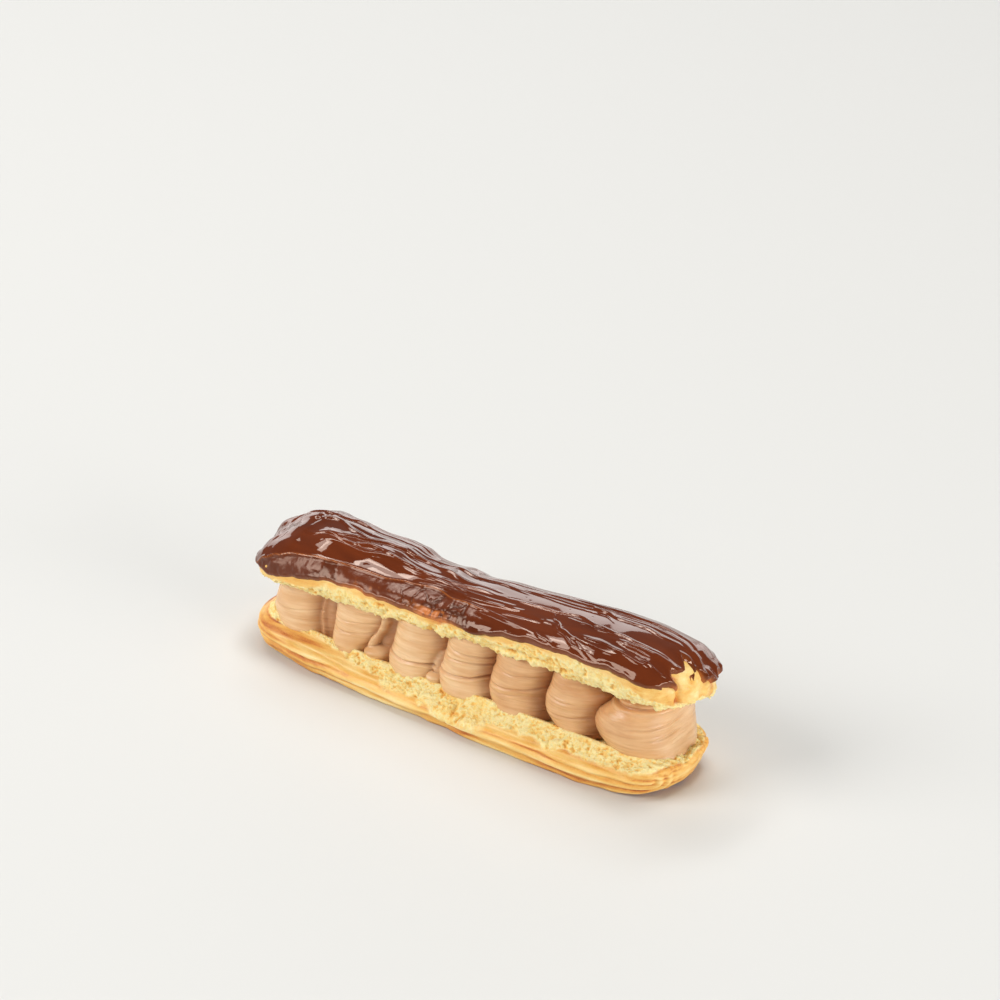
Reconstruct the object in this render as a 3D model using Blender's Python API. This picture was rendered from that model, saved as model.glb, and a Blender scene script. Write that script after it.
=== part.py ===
"""Chocolate eclair: choux base, seven piped cream mounds, tilted choux lid and a chocolate icing shell.

+X runs along the length, -Y is the open side, +Z is up. Sizes are in millimetres and are
scaled to metres when a mesh is made. Every solid is one closed body.
"""

import math

import bmesh
import bpy
from mathutils import Vector

MM = 0.001
GAP = 0.35                      # air left between touching pieces
MIDDLE_X = 1.5                  # middle of the whole length in the stations below

# Choux base: a shallow dish with a rounded crust wall and a torn crumb rim.
BASE_ENDS_X = (-74.2, 76.0)
BASE_HALF_WIDTH = ((-75, 16.8), (-25, 18.2), (30, 18.4), (75, 17.4))
# (how far a rounded corner runs, its bluntness where 2 is an ellipse), anticlockwise from near +X
BASE_CORNERS = ((12.0, 2.3), (17.0, 2.1), (14.0, 2.0), (14.0, 2.0))
BASE_SEGMENTS = (15, 11)            # along each side, round each end
TROUGH_Z = 8.3
RIM_Z = ((-75, 8.2), (-49, 7.9), (-25, 6.3), (7, 6.0), (43, 6.8), (60, 7.4), (75, 8.8))
CRUMB_Z = ((-75, 11.2), (-47, 10.2), (-18, 9.6), (-1, 9.6), (16, 10.8), (50, 10.9), (75, 10.4))
# (inset from the outline, height): the foot, then three piped ridges with grooves between.
CRUST_WALL = ((9.5, 0.0), (5.4, 0.0), (3.2, 0.5), (1.7, 1.5), (1.55, 2.6), (0.3, 3.7), (0.65, 4.9))

# Choux lid, tilted up towards +X and towards the open side.
LID_ENDS_X = (-71.9, 75.9)
LID_END_LENGTHS = (14.0, 10.0)
LID_HALF_WIDTH = ((-75, 17.2), (-45, 17.2), (-12, 15.8), (30, 16.6), (75, 17.0))
LID_ROLL = ((-75, 0.09), (-20, 0.11), (40, 0.14), (75, 0.22))     # fall along +Y
LID_UNDERSIDE_Z = ((-75, 23.2), (-62, 22.7), (-20, 23.7), (-5, 24.1), (10, 25.6), (42, 26.0),
                   (54, 26.4), (66, 25.5), (75, 24.0))
LID_RIM_RISE = ((-75, 1.6), (-58, 1.6), (-38, 3.2), (10, 4.0), (36, 5.8), (60, 5.2), (75, 5.4))
LID_CREST_RISE = ((-72, 7.2), (-64, 11.4), (-54, 14.4), (-46, 14.9), (-30, 12.2), (-12, 10.8),
                  (8, 10.6), (30, 11.2), (48, 12.4), (62, 13.2), (75, 11.8))
LID_RINGS_END = 6
LID_RINGS_BODY = 22
LID_SEGMENTS_TOP = 18
# (share of the half-width, share of the rim rise): crust strip, torn lip, underside.
LID_LOWER = ((0.985, -0.42), (0.94, -0.82), (0.86, -1.0), (0.7, -1.0), (0.46, -1.0), (0.22, -1.0))

# Chocolate icing: a shell over the upper half of the lid.
ICING_THICKNESS = 1.3
ICING_EDGE = 0.35
ICING_RIDGES = 5
ICING_RIDGE_HEIGHT = 0.3
ICING_EDGE_ANGLE = 4.0          # degrees above the widest line of the lid
ICING_SEGMENTS = 18

# Cream mounds: each is a loaf that runs through from the near side to the far side.
MOUND_HALF_DEPTH = 14.2
MOUND_CAP_DEPTH = 7.2
MOUND_SLANT = 0.22              # shift towards +X per millimetre towards +Y
MOUND_SEGMENTS = (3, 8)
MOUND_FOLDS = (0, 11)           # segments of the fold on each flank, one near and one far
MOUND_FOLD_DEPTH = 0.1
MOUND_FLARE = 0.12              # how much a mound draws in at its head and just above the rim
MOUND_FOOT_DEPTH = 0.735        # share of the half depth that fits inside the torn rim
MOUND_FOOT_WIDTH = 0.9
MOUND_END_REACH = 1.08          # how much wider the last mound is towards the +X end
MOUND_END_CORNERS = ((14.0, 1.8), (7.2, 2.0), (7.2, 2.0), (9.0, 2.3))
# (middle x, half width, crease heights as shares of the mound's height above the rim)
MOUNDS = (
    (-54.2, 8.7, ()),
    (-31.1, 8.7, ()),
    (-9.7, 8.9, (0.3,)),
    (8.2, 8.6, (0.3, 0.72)),
    (25.8, 8.6, ()),
    (42.7, 7.9, (0.35,)),
    (59.7, 8.7, (0.75,)),
)
CREASE_DEPTH = 0.06
CREASE_WIDTH = 0.07
MOUND_LEVELS = (0.0, 0.1, 0.22, 0.36, 0.5, 0.64, 0.76, 0.88, 1.0)

COLOURS = {
    "choux": (0.85, 0.52, 0.19),
    "crumb_lid": (0.9, 0.66, 0.3),
    "cream": (0.56, 0.33, 0.2),
    "chocolate": (0.09, 0.025, 0.012),
}


def along(stations, x):
    """Smooth value at x between (x, value) stations."""
    if x <= stations[0][0]:
        return stations[0][1]
    for (x0, v0), (x1, v1) in zip(stations, stations[1:]):
        if x <= x1:
            share = (x - x0) / (x1 - x0)
            return v0 + (v1 - v0) * share * share * (3 - 2 * share)
    return stations[-1][1]


def material(name, colour, roughness):
    made = bpy.data.materials.new(name)
    made.use_nodes = True
    shader = made.node_tree.nodes["Principled BSDF"]
    shader.inputs["Base Color"].default_value = (*colour, 1.0)
    shader.inputs["Roughness"].default_value = roughness
    made.diffuse_color = (*colour, 1.0)
    return made


def shaped_sphere(name, rings, segments, place, look, collection):
    """A UV sphere whose vertex at (ring, segment) is moved to place(ring, segment).

    Ring 0 and ring `rings` are the poles, which take segment 0.
    """
    mesh = bpy.data.meshes.new(name)
    shape = bmesh.new()
    bmesh.ops.create_uvsphere(shape, u_segments=segments, v_segments=rings, radius=1.0)
    for vertex in shape.verts:
        polar = math.acos(max(-1.0, min(1.0, -vertex.co.z)))
        ring = round(polar / math.pi * rings)
        turn = math.atan2(vertex.co.y, vertex.co.x) / math.tau
        segment = 0 if ring in (0, rings) else round(turn * segments) % segments
        x, y, z = place(ring, segment)
        vertex.co = Vector((x - MIDDLE_X, y, z)) * MM
    if shape.calc_volume(signed=True) < 0:
        bmesh.ops.reverse_faces(shape, faces=shape.faces)
    shape.to_mesh(mesh)
    shape.free()
    for face in mesh.polygons:
        face.use_smooth = True
    piece = bpy.data.objects.new(name, mesh)
    piece.data.materials.append(look)
    collection.objects.link(piece)
    return piece


def stadium(segment, counts, ends, corners, inset=0.0):
    """Plan point (x, share of the half width) of a long outline with rounded ends.

    Segments go round the +X end, back along +Y, round the -X end and forward along -Y, and so
    do the four corners, each (length, bluntness). The ends are drawn in by `inset`.
    """
    side_count, end_count = counts
    half, step = divmod(segment, side_count + end_count)
    way = 1 if half == 0 else -1
    tip, far_tip = (ends[1], ends[0]) if half == 0 else (ends[0], ends[1])
    if step < end_count:
        angle = math.pi * (step / end_count - 0.5)
        length, bluntness = corners[2 * half + (angle > 0)]
        reach = (length - inset) * abs(math.cos(angle)) ** (2 / bluntness)
        spread = math.copysign(abs(math.sin(angle)) ** (2 / bluntness), math.sin(angle))
        return tip - way * (length - reach), way * spread
    done = (step - end_count) / side_count
    here = tip - way * corners[2 * half + 1][0]
    there = far_tip + way * corners[(2 * half + 2) % 4][0]
    return here + (there - here) * done, way


# ---- choux base ----

def base_levels(x):
    """(inset, height) rings above the crust wall: rim, torn crumb slope, crumb edge, trough."""
    rim = along(RIM_Z, x)
    crumb = along(CRUMB_Z, x)
    return (
        (0.1, rim - 1.2),
        (0.7, rim - 0.1),
        (1.9, rim + 0.35),
        (3.7, rim + 0.55 * (crumb - rim)),
        (5.4, crumb),
        (6.3, crumb - 0.5),
        (7.0, TROUGH_Z + 0.2),
        (10.0, TROUGH_Z),
    )


def place_base(ring, segment):
    levels = len(CRUST_WALL) + 8
    if ring == 0:
        return 0.0, 0.0, 0.0
    if ring == levels + 1:
        return 0.0, 0.0, TROUGH_Z
    outline = (BASE_SEGMENTS, BASE_ENDS_X, BASE_CORNERS)
    x, _ = stadium(segment, *outline)
    inset, z = (CRUST_WALL + base_levels(x))[ring - 1]
    half_width = along(BASE_HALF_WIDTH, x) - inset
    x, across = stadium(segment, *outline, inset)
    return x, across * half_width, z


def make_base(collection):
    look = material("choux_base", COLOURS["choux"], 0.6)
    rings = len(CRUST_WALL) + 9
    segments = 2 * sum(BASE_SEGMENTS)
    return shaped_sphere("choux_base", rings, segments, place_base, look, collection)


# ---- cream mounds ----

def ceiling(x, y):
    """Height of the lid's underside, which is tilted towards the open side."""
    return along(LID_UNDERSIDE_Z, x) - along(LID_ROLL, x) * y


def mound_girth(level, creases):
    """Share of a mound's full width at a share of its height above the rim."""
    girth = 1.0 - MOUND_FLARE * abs(2 * level - 1) ** 2.6
    for crease in creases:
        girth -= CREASE_DEPTH * math.exp(-(((level - crease) / CREASE_WIDTH) ** 2))
    return girth


def mound_ring(ring, creases):
    """(share of the depth, share of the width, share of the height) of a ring of a mound.

    A negative height share is the foot, which stands inside the torn rim.
    """
    last = len(MOUND_LEVELS) + 5
    if ring == 0:
        return 0.0, 0.0, -1.0
    if ring == last:
        return 0.0, 0.0, 1.0
    if ring == last - 1:
        return 0.5, 0.5, 1.0
    if ring <= 3:
        spread = (0.5, 0.97, 1.0)[ring - 1]
        return MOUND_FOOT_DEPTH * spread, MOUND_FOOT_WIDTH * spread, (-1.0, -1.0, -0.1)[ring - 1]
    level = MOUND_LEVELS[ring - 4]
    girth = mound_girth(level, creases)
    return girth, girth, level


def place_mound(index, ring, segment):
    middle, half_width, creases = MOUNDS[index]
    deep, wide, level = mound_ring(ring, creases)
    faces = (-MOUND_HALF_DEPTH, MOUND_HALF_DEPTH)
    at_end = index == len(MOUNDS) - 1
    corners = MOUND_END_CORNERS if at_end else 4 * ((MOUND_CAP_DEPTH, 2.0),)
    depth, across = stadium(segment, MOUND_SEGMENTS, faces, corners)
    y = depth * deep
    slant = MOUND_SLANT
    if at_end:
        slant *= 0.5 + 0.5 * across
        across *= MOUND_END_REACH if across < 0 else 1.0
    elif segment in MOUND_FOLDS:
        across *= 1.0 - MOUND_FOLD_DEPTH
    x = middle - across * half_width * wide + slant * y
    floor = TROUGH_Z + GAP
    brim = along(CRUMB_Z, x) + GAP
    head = ceiling(x, y) - GAP
    if level < 0:
        return x, y, brim + level * (brim - floor)
    return x, y, brim + level * (head - brim)


def make_mounds(collection):
    look = material("cream", COLOURS["cream"], 0.5)
    rings = len(MOUND_LEVELS) + 5
    segments = 2 * sum(MOUND_SEGMENTS)
    for index in range(len(MOUNDS)):
        def place(ring, segment, index=index):
            return place_mound(index, ring, segment)
        shaped_sphere(f"cream_{index + 1}", rings, segments, place, look, collection)


# ---- choux lid and icing ----

def lid_station(ring):
    """(x, share of the full section) of a ring."""
    left = LID_ENDS_X[0] + LID_END_LENGTHS[0]
    right = LID_ENDS_X[1] - LID_END_LENGTHS[1]
    last = 2 * LID_RINGS_END + LID_RINGS_BODY
    if ring <= LID_RINGS_END:
        angle = math.pi / 2 * (1 - ring / LID_RINGS_END)
        return left - LID_END_LENGTHS[0] * math.sin(angle), math.cos(angle)
    if ring >= last - LID_RINGS_END:
        angle = math.pi / 2 * (1 - (last - ring) / LID_RINGS_END)
        return right + LID_END_LENGTHS[1] * math.sin(angle), math.cos(angle)
    done = (ring - LID_RINGS_END) / LID_RINGS_BODY
    return left + (right - left) * done, 1.0


def lid_top(x, share, angle):
    """Point on the upper surface: angle 0 is the near rim and pi the far rim."""
    half_width = along(LID_HALF_WIDTH, x) * share
    rim = along(LID_RIM_RISE, x)
    crest = along(LID_CREST_RISE, x)
    y = -half_width * math.cos(angle)
    rise = rim + (crest - rim) * share * max(0.0, math.sin(angle)) ** 0.85
    return x, y, ceiling(x, y) + rise


def lid_bottom(x, share, across, fall):
    half_width = along(LID_HALF_WIDTH, x) * share
    rim = along(LID_RIM_RISE, x)
    y = half_width * across
    return x, y, ceiling(x, y) + rim + rim * fall * share**0.5


def place_lid(ring, segment):
    x, share = lid_station(ring)
    if segment <= LID_SEGMENTS_TOP:
        return lid_top(x, share, math.pi * segment / LID_SEGMENTS_TOP)
    step = segment - LID_SEGMENTS_TOP - 1
    count = len(LID_LOWER)
    if step < count:
        across, fall = LID_LOWER[step]
        return lid_bottom(x, share, across, fall)
    if step == count:
        return lid_bottom(x, share, 0.0, -1.0)
    across, fall = LID_LOWER[2 * count - step]
    return lid_bottom(x, share, -across, fall)


def make_lid(collection):
    look = material("choux_top", COLOURS["crumb_lid"], 0.65)
    rings = 2 * LID_RINGS_END + LID_RINGS_BODY
    segments = LID_SEGMENTS_TOP + 2 * len(LID_LOWER) + 2
    return shaped_sphere("choux_top", rings, segments, place_lid, look, collection)


def lid_normal(ring, angle):
    """Outward direction of the lid's upper surface, from points on either side."""
    last = 2 * LID_RINGS_END + LID_RINGS_BODY
    if ring in (0, last):
        return Vector((1.0 if ring else -1.0, 0.0, 0.0))
    before = Vector(lid_top(*lid_station(ring - 0.2), angle))
    after = Vector(lid_top(*lid_station(ring + 0.2), angle))
    x, share = lid_station(ring)
    low = Vector(lid_top(x, share, angle - 0.04))
    high = Vector(lid_top(x, share, angle + 0.04))
    return (high - low).cross(before - after).normalized()


def place_icing(ring, segment):
    """The first half of each lap is the outer surface, and the second half the inner one."""
    first = math.radians(ICING_EDGE_ANGLE)
    outer = segment <= ICING_SEGMENTS
    done = segment / ICING_SEGMENTS if outer else 2 - segment / ICING_SEGMENTS
    angle = first + (math.pi - 2 * first) * done
    point = Vector(lid_top(*lid_station(ring), angle))
    body = min(1.0, 4 * done, 4 * (1 - done))
    share = lid_station(ring)[1]
    ridges = ICING_RIDGE_HEIGHT * math.cos(math.tau * ICING_RIDGES * (done - 0.5)) * body * share**2
    depth = GAP
    if outer:
        depth += ICING_EDGE + (ICING_THICKNESS - ICING_EDGE) * body**0.5 + ridges
    if segment in (0, ICING_SEGMENTS) or ring in (0, 2 * LID_RINGS_END + LID_RINGS_BODY):
        depth = GAP + ICING_EDGE
    return point + lid_normal(ring, angle) * depth


def make_icing(collection):
    look = material("chocolate_icing", COLOURS["chocolate"], 0.2)
    rings = 2 * LID_RINGS_END + LID_RINGS_BODY
    segments = 2 * ICING_SEGMENTS
    return shaped_sphere("chocolate_icing", rings, segments, place_icing, look, collection)


def main():
    for old in list(bpy.data.objects):
        bpy.data.objects.remove(old, do_unlink=True)
    eclair = bpy.data.collections.new("chocolate_eclair")
    bpy.context.scene.collection.children.link(eclair)
    make_base(eclair)
    make_mounds(eclair)
    make_lid(eclair)
    make_icing(eclair)


main()
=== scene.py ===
"""Looks of the chocolate eclair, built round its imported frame.

Shapes are worked out in millimetres in the frame's own axes (+X along the length, -Y the open
side, +Z up) and scaled to metres when a mesh is made. Grids of points are [ring, place on the
ring, xyz].
"""

import itertools
import math

import bpy
import numpy as np
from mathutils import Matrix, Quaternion, Vector


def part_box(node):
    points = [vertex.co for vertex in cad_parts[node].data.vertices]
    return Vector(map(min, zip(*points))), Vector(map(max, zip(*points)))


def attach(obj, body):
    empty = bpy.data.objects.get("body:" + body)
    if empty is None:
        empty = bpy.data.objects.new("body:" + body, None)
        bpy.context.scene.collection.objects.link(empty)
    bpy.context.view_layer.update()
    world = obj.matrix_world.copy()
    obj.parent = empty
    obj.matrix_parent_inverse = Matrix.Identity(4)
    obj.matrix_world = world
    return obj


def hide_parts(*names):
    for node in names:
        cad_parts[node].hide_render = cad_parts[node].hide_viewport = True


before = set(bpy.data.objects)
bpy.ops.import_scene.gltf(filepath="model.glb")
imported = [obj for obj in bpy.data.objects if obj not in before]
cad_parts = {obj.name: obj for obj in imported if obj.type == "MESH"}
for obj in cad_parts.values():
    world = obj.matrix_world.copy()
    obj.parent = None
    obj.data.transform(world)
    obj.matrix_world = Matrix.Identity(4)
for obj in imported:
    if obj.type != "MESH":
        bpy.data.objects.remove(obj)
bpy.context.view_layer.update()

MM = 0.001
TAU = math.tau
MIDDLE_X = 1.5  # middle of the whole length in the stations below
STEP = 0.34  # between the points of what shows

# Choux base, as the frame has it: (x, value) stations.
BASE_HALF_WIDTH = ((-75, 16.8), (-25, 18.2), (30, 18.4), (75, 17.4))
BASE_CORNERS = ((12, 2.3), (17, 2.1), (14, 2), (14, 2))  # (length, squareness)
TROUGH_Z = 8.3
RIM_Z = ((-75, 8.2), (-49, 7.9), (-25, 6.3), (7, 6), (43, 6.8), (60, 7.4), (75, 8.8))
CRUMB_Z = ((-75, 11.2), (-47, 10.2), (-18, 9.6), (-1, 9.6), (16, 10.8), (50, 10.9), (75, 10.4))

BASE_STEPS = (8, 32, 26, 9, 5)  # rows between the marks of the section
BASE_RIM_ROW = 40  # the row where the wall ends and the torn rim begins
WALL_FULLNESS = 1.8  # how far the near wall swells past the frame's
RIDGE_Z = 6.0  # the piped ridges lie above and below this height,
RIDGE_PITCH = 2.2  # this far apart,
SWIRL_AT = 8.0  # and turn back this far round from the near +X corner
# Where the crust ends and the crumb begins: (x, mm inwards over the rim).
BASE_TORN = ((-75, 4), (-58, 4.4), (-42, 4.4), (-36, 4), (-32, 2.6), (-27, 1.7), (-21, 1.4), (-16, 0),
             (-12, -0.4), (-9, 0), (-2, -1.2), (5, -1.8), (12, -1.2), (19, -0.4), (26, 0.3), (33, 0.9),
             (39, -0.4), (46, 0.2), (52, 0.4), (59, 0), (65, 0.2), (75, 1))
# Larger bubbles in the crumb: (x, y, radius, depth).
BASE_HOLLOWS = ((2.5, -14, 1.3, 1), (6, -15.8, 1.1, 1.1), (13.5, -14.6, 2.6, 0.7), (-34, -13.8, 1.1, 0.8),
                (-17, -14.6, 1, 0.7), (47, -13.5, 1, 0.6))

# Choux lid, as the frame has it.
LID_END_LENGTHS = (14, 10)
LID_HALF_WIDTH = ((-75, 17.2), (-45, 17.2), (-12, 15.8), (30, 16.6), (75, 17))
LID_ROLL = ((-75, 0.09), (-20, 0.11), (40, 0.14), (75, 0.22))  # fall for each mm towards +Y
LID_UNDERSIDE_Z = ((-75, 23.2), (-62, 22.7), (-20, 23.7), (-5, 24.1), (10, 25.6), (42, 26), (54, 26.4),
                   (66, 25.5), (75, 24))
LID_RIM_RISE = ((-75, 1.6), (-58, 1.6), (-38, 3.2), (10, 4), (36, 5.8), (60, 5.2), (75, 5.4))
LID_CREST_RISE = ((-72, 7.2), (-64, 11.4), (-54, 14.4), (-46, 14.9), (-30, 12.2), (-12, 10.8), (8, 10.6),
                  (30, 11.2), (48, 12.4), (62, 13.2), (75, 11.8))
LID_UNDER = ((0, -1), (0.22, -1), (0.46, -1), (0.7, -1))  # (across, fall)
LID_STRIP = ((0.86, -1), (0.94, -0.82), (0.985, -0.42))

LID_STEPS = (26, 22, 56, 22, 26)
# Where the lid's crust ends: (x, mm below the rim).
LID_GOLD = ((-75, 0.8), (-55, 0.8), (-45, 0.6), (-38, -1.4), (-28, -1.2), (-20, -0.6), (-5, 0.2), (4, 0.3),
            (12, 0), (24, 0.3), (32, -0.2), (40, -0.6), (47, -0.4), (56, 0.3), (66, 1.6), (75, 3.4))
LID_GROOVE_Y = -8.6  # groove down the bare +X end

# Chocolate: (x, millimetres above the near rim) of its near edge, (y, z) of its +X edge.
ICING_NEAR = ((-66, 0.6), (-59, 0.8), (-50, 1.7), (-43, 2), (-35, 2.6), (-28, 2.8), (-24, 2.1), (-18, 1.9),
              (-11, 1.3), (-4, 1.2), (3, 1), (9, 0.4), (14, -0.6), (18, 0.4), (23, 1.4), (38, 1.6), (44, 2),
              (53, 1), (62, 1.7), (70, 1), (75, 1))
ICING_END = ((-22, 33), (-16, 33.6), (-14.2, 33.9), (-13.5, 32.4), (-12.8, 34.3), (-10.9, 34.1), (-9.1, 33),
             (-8.6, 33.7), (-9, 35.4), (-8.2, 36.1), (-6.2, 35.3), (-3.4, 34.6), (-0.5, 36.4), (0.4, 35.6),
             (-1.4, 34.6), (-3.5, 34.1), (-4.7, 32.2), (-3.2, 33.2), (-3.3, 32), (-1.4, 32.7), (0.6, 33.2),
             (0.2, 31.6), (0.8, 30.6), (2.2, 30.2), (3.6, 30), (4.2, 28.4), (5, 26.3), (5.8, 28.2),
             (7.5, 27.4), (8.2, 29.6), (9, 29), (11, 27.2), (13, 29.4), (16, 29), (24, 32), (24, 70),
             (-22, 70))
# Drips along that edge: (y, z, radius, height).
ICING_BEADS = ((1.6, 31.8, 1.2, 1), (4.6, 30.9, 1.3, 0.8), (5.4, 28.4, 1, 0.7), (8.5, 30.2, 1.5, 0.6),
               (11.5, 29.6, 1.3, 0.6), (4, 34.6, 1.5, 0.5), (8, 33.6, 1.6, 0.5))
ICING_STEPS = (10, 134, 10)
ICING_DEPTH = 0.8
ICING_EDGE_WIDTH = 1.0
# Where the chocolate swells over the top: (x, half width, height).
ICING_CROWN = ((-62, 8, 2.6), (-50, 5, 0.4), (-33, 6.5, 1.4), (-70.5, 3.5, 2.3), (-26.5, 2.8, 0.55),
               (-9, 4, 0.7))
# The ledge along the near flank: (x, share of the way over).
LEDGE = ((-66, 0.03), (-62, 0.1), (-58, 0.14), (-52, 0.17), (-42, 0.18), (-32, 0.2), (-22, 0.2),
         (-14, 0.24), (-5, 0.26), (4, 0.2), (12, 0.18), (22, 0.2), (31, 0.22))

# Lines where the chocolate ran: ((x, share of the way over), ...), how far it falls in mm on the
# near and on the far side, and its height.
STROKES = (
    (((-62, 0.5), (-57, 0.37), (-52, 0.34), (-47, 0.38), (-39, 0.36), (-33, 0.42), (-24, 0.4),
      (-12, 0.37), (0, 0.37), (11, 0.38), (20, 0.45)), 0.7, 2.2, 0.5),
    (((-50, 0.3), (-43, 0.33), (-35, 0.33), (-26, 0.37), (-16, 0.39), (-8, 0.33)), 0.5, 1.2, 0.3),
    (((-56, 0.34), (-35, 0.36), (-26, 0.39), (-16, 0.38), (-5, 0.34), (5, 0.31), (13, 0.31),
      (26, 0.34)), 4.6, 1.0, 0.55),
    (((-59, 0.49), (-50, 0.54), (-42, 0.49), (-34, 0.47)), 0.7, 2.0, 0.5),
    (((-52, 0.38), (-44, 0.4), (-39, 0.45), (-29, 0.52), (-18, 0.56), (-8, 0.51), (3, 0.43),
      (12, 0.39)), 0.8, 3.4, 0.6),
    (((-30, 0.62), (-14, 0.66), (4, 0.6), (22, 0.55)), 0.7, 2.5, 0.4),
    (((-66, 0.44), (-61, 0.56), (-54, 0.62), (-40, 0.66)), 0.8, 3.0, 0.5),
    (((-16, 0.27), (-4, 0.29), (8, 0.25), (20, 0.27), (28, 0.33)), 0.5, 1.5, 0.35),
    (((10, 0.38), (20, 0.4), (31, 0.41), (38, 0.44), (46, 0.37), (54, 0.33), (60, 0.31), (66, 0.31),
      (71, 0.34)), 0.5, 0.9, 0.45),
    (((35, 0.38), (42, 0.35), (49, 0.32), (57, 0.3)), 0.35, 0.5, 0.25),
    (((27, 0.42), (31, 0.38), (35, 0.29), (39, 0.21), (44, 0.17), (52, 0.14)), 0.45, 0.6, 0.35),
    (((34, 0.25), (39, 0.18), (46, 0.11), (53, 0.06)), 0.4, 0.6, 0.35),
    (((38, 0.22), (43, 0.17), (50, 0.1), (55, 0.07)), 0.35, 0.5, 0.25),
    (((30, 0.14), (36, 0.09), (42, 0.06)), 0.5, 0.8, 0.3),
    (((42, 0.22), (50, 0.2), (58, 0.17), (66, 0.14), (72, 0.11)), 0.5, 2.0, 0.45),
    (((54, 0.26), (60, 0.24), (67, 0.23)), 0.3, 0.4, 0.25),
    (((60, 0.2), (66, 0.18), (71, 0.14), (75, 0.1)), 0.35, 0.5, 0.3),
    (((16, 0.66), (33, 0.68), (42, 0.61), (48, 0.56), (56, 0.54), (62, 0.51), (68, 0.54),
      (74, 0.54)), 0.7, 2.0, 0.5),
    (((24, 0.57), (34, 0.57), (43, 0.55), (50, 0.47)), 0.35, 0.5, 0.25),
    (((16, 0.2), (24, 0.21), (31, 0.22), (34, 0.26)), 0.3, 0.4, 0.2),
    (((20, 0.78), (40, 0.74), (60, 0.68), (74, 0.66)), 0.8, 2.5, 0.5),
)
EXTRA_STROKES = 12

# For each mound: its body and the folds beside it as (z, -X side, +X side, reach towards -Y)
# stations, and its creases as (path of (x, z), depth, width), all in mm.
CREAM_FORMS = (
    ((((9, -65, -45.6, 14.2), (13, -65.5, -45.8, 14.2), (17, -64.3, -46.2, 14.2), (21, -63, -45, 14.2),
       (25, -62.5, -43.5, 14.2)),
      ((9, -48.5, -40.8, 10.2), (25, -46.5, -39, 10.2)),
      ((9, -46.6, -44.6, 11.2), (17, -46.8, -44.8, 11), (25, -44.4, -42.4, 11.2))),
     ((((-66, 16.2), (-58, 15.4), (-50, 16.4), (-45, 17)), 0.25, 0.3),)),
    ((((9, -41.8, -29.5, 14.2), (11.5, -42.4, -28.2, 14.2), (14, -42.3, -26.6, 14.2),
       (19, -41.6, -23.2, 14.2), (25, -41.2, -21.6, 14.2)),
      ((9, -31, -19, 9.8), (25, -25, -17.5, 9.8)),
      ((9, -30, -27, 12.4), (14, -27.6, -25, 12.2), (19, -24.2, -21.8, 12), (25, -22.6, -20.2, 12)),
      ((9, -29.5, -21.5, 13.3), (11.8, -29, -21.5, 13.3), (13.2, -28, -22, 9))),
     ((((-42, 15.6), (-36, 15.2), (-30, 15.8), (-26, 16.6)), 0.3, 0.3),
      (((-42, 18.8), (-36, 18.6), (-30, 19.2), (-25, 19.8)), 0.25, 0.25))),
    ((((9, -22.5, -4.2, 14.2), (11, -22.9, -4.2, 14.2), (16, -21.3, -3, 14.2), (19, -20.2, -1.8, 14.2),
       (24, -19, -1, 14.2)),
      ((9, -6, -1.2, 11.2), (16, -5, -1.2, 11.2), (19, -3.5, -1.4, 9), (20, -2.8, -2, 6)),
      ((9, -5.6, -1.8, 13), (11.3, -5.6, -1.8, 13), (12.3, -5, -2.4, 9))),
     ((((-23, 14), (-14.3, 13.2), (-10.3, 13.6), (-4.4, 13.7)), 0.75, 0.4),)),
    ((((9, -4.9, 15.6, 14.2), (11, -5, 15.2, 14.2), (14.5, -4.4, 13.6, 14.2), (18, -3.2, 13.8, 14.2),
       (21.5, -1.8, 15.4, 14.2), (26, -1, 16, 14.2)),),
     ((((2.5, 23), (4.5, 22.6), (9, 22.2), (17, 22.2)), 0.6, 0.35),
      (((-2, 20.6), (0.9, 19.7), (6.3, 19.7), (16, 19.5)), 0.5, 0.35),
      (((-4, 14.4), (0.9, 14.3), (4.6, 14.6), (7.7, 14.9), (12.5, 16), (16, 16)), 0.9, 0.4))),
    ((((9, 13.6, 33.2, 14.2), (12.5, 12.7, 31.8, 14.2), (15.4, 12.8, 31.4, 14.2),
       (19.4, 13.6, 32.3, 14.2), (23, 14.6, 33.6, 14.2), (27, 15.2, 34.2, 14.2)),),
     ((((14, 16.4), (20.6, 16.8), (23.4, 17.3), (33, 18.8)), 0.5, 0.35),
      (((13, 14.6), (19, 14.6), (26, 15.4)), 0.3, 0.3),
      (((15, 22.6), (22, 21.8), (32, 22.6)), 0.3, 0.3))),
    ((((9, 34, 50.5, 12.2), (12.5, 32.2, 49.9, 13.2), (16.6, 31.8, 49.4, 14), (19.4, 32.4, 50, 14.2),
       (22.5, 33.4, 51.2, 14), (24.5, 33.8, 49.9, 13.6), (27, 34.4, 48.5, 13.2)),),
     ((((34, 19.6), (38.9, 19.3), (44.2, 19.6)), 0.4, 0.3),
      (((32, 14.8), (36.3, 14.5), (41, 14.8), (48, 16)), 0.4, 0.35))),
    ((((9, 48.8, 71.2, 12), (11.5, 47.2, 70.2, 13.3), (14.5, 46.4, 69.2, 14.3), (17.5, 46.7, 68.6, 14.5),
       (20.5, 48.6, 68.6, 13.9), (22.8, 51.2, 68.8, 12.4), (24.6, 52, 69.2, 11.6),
       (28, 51.8, 69.6, 11.4)),),
     ((((48, 23.2), (56, 23.6), (62, 24), (70, 24.4)), 1.1, 0.45),
      (((48, 25.2), (56, 25.6), (62, 26), (70, 26.6)), 0.8, 0.35),
      (((60, 18.4), (64, 18.6), (70, 19.2)), 0.4, 0.3),
      (((64, 15.2), (67, 15.6), (72, 16.4)), 0.3, 0.3))),
)
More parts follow.
